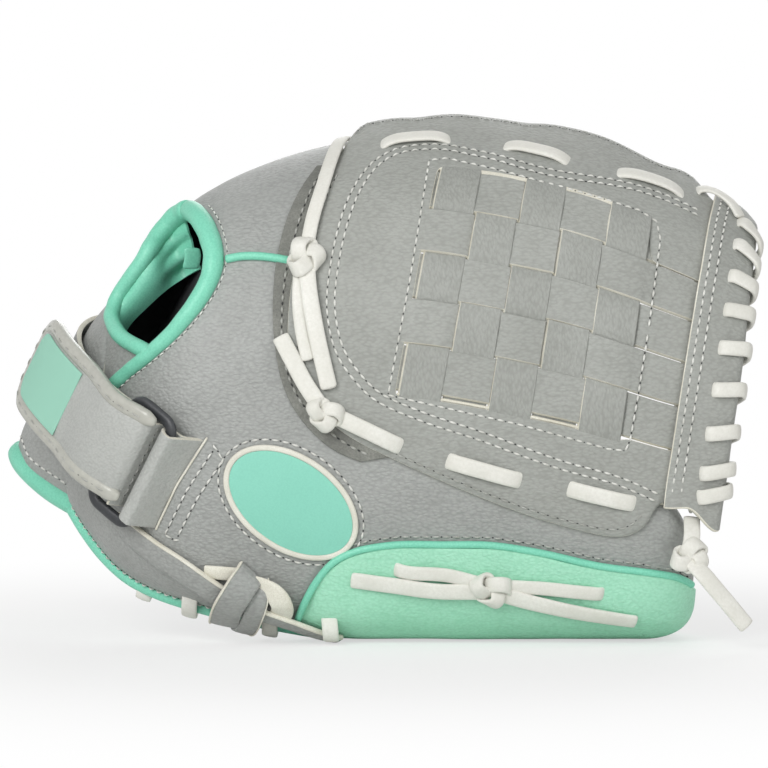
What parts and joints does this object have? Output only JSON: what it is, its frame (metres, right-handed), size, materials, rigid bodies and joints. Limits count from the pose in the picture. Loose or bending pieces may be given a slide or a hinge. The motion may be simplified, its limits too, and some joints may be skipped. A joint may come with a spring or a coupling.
{
  "type": "softball glove",
  "caption": "Left-hand softball glove: padded finger and thumb stalls, basket-woven web with a laced top bar, open pocket, wrist strap through a ring.",
  "frame": {"origin": "under the middle of the glove's box, on the surface that it stands on", "axes": "+X from the heel to the fingertips, -Y out of the back of the hand, +Y out of the pocket, +Z from the thumb up to the index finger"},
  "size_m": [0.283, 0.1434, 0.1988],
  "materials": {
    "grey_leather": "pebbled, semi-matt",
    "web_leather": "smooth, semi-matt, pale cut edges",
    "mint_leather": "smooth, rolled",
    "mint_pebbled_leather": "pebbled, semi-matt",
    "rawhide_lace": "matt",
    "felt": "felted wool",
    "black_lining": "soft knit",
    "mint_patch": "satin",
    "patch_border_thread": "close satin stitch",
    "black_plastic": "moulded",
    "fastening_tape": "hook and loop",
    "woven_binding": "glossy woven tape",
    "label_cloth": "woven, plain"
  },
  "bodies": {
    "hand": {"hand_back_finger_side": "grey_leather", "hand_back_thumb_side": "grey_leather", "wrist_binding": "mint_leather", "back_seam_piping": "mint_leather", "heel_piping": "mint_leather", "thumb_stall": "grey_leather", "thumb_panel": "mint_pebbled_leather", "thumb_panel_piping": "mint_leather", "thumb_lace": "rawhide_lace", "heel_lace": "rawhide_lace", "palm_leather": "grey_leather", "thumb_facing": "grey_leather", "thumb_heel_pad": "felt", "little_heel_pad": "felt", "palm_lining": "black_lining", "web_panel": "web_leather", "web_weft_1": "web_leather", "web_weft_2": "web_leather", "web_weft_3": "web_leather", "web_weft_4": "web_leather", "web_weft_5": "web_leather", "web_warp_1": "web_leather", "web_warp_2": "web_leather", "web_warp_3": "web_leather", "web_warp_4": "web_leather", "web_warp_5": "web_leather", "web_top_bar": "web_leather", "web_top_lace": "rawhide_lace", "web_thumb_lace": "rawhide_lace", "crotch_lace": "rawhide_lace", "web_tip_lace": "rawhide_lace", "oval_patch": "mint_patch", "oval_patch_border": "patch_border_thread", "ring_keeper": "grey_leather", "strap_base": "grey_leather", "loop_tape": "fastening_tape", "pull_strap": "grey_leather"},
    "fingers": {"index_finger_stall": "grey_leather", "middle_finger_stall": "grey_leather", "ring_finger_stall": "grey_leather", "little_finger_stall": "grey_leather", "fingertip_lace": "rawhide_lace", "finger_facing": "grey_leather", "web_index_flap": "web_leather", "web_index_lace": "rawhide_lace"},
    "ring": {"strap_ring": "black_plastic", "strap_fold": "grey_leather"},
    "flap": {"strap_flap": "grey_leather", "flap_binding": "woven_binding", "flap_label": "label_cloth", "hook_tape": "fastening_tape"}
  },
  "joints": [
    {"name": "finger_close", "type": "hinge", "parent": "hand", "child": "fingers", "pos_m": [0, -0.0215, 0.15], "axis": [-1, 0, 0], "range_deg": [0, 16], "stiffness_Nm_per_rad": 1.5},
    {"name": "ring_tilt", "type": "hinge", "parent": "hand", "child": "ring", "pos_m": [-0.08881, -0.05811, 0.06458], "axis": [0.4244, -0.3583, 0.8316], "range_deg": [0, 28], "stiffness_Nm_per_rad": 0.1},
    {"name": "flap_peel", "type": "hinge", "parent": "ring", "child": "flap", "pos_m": [-0.103, -0.04934, 0.0756], "axis": [0.4244, -0.3583, 0.8316], "range_deg": [0, 110], "stiffness_Nm_per_rad": 0.03}
  ]
}
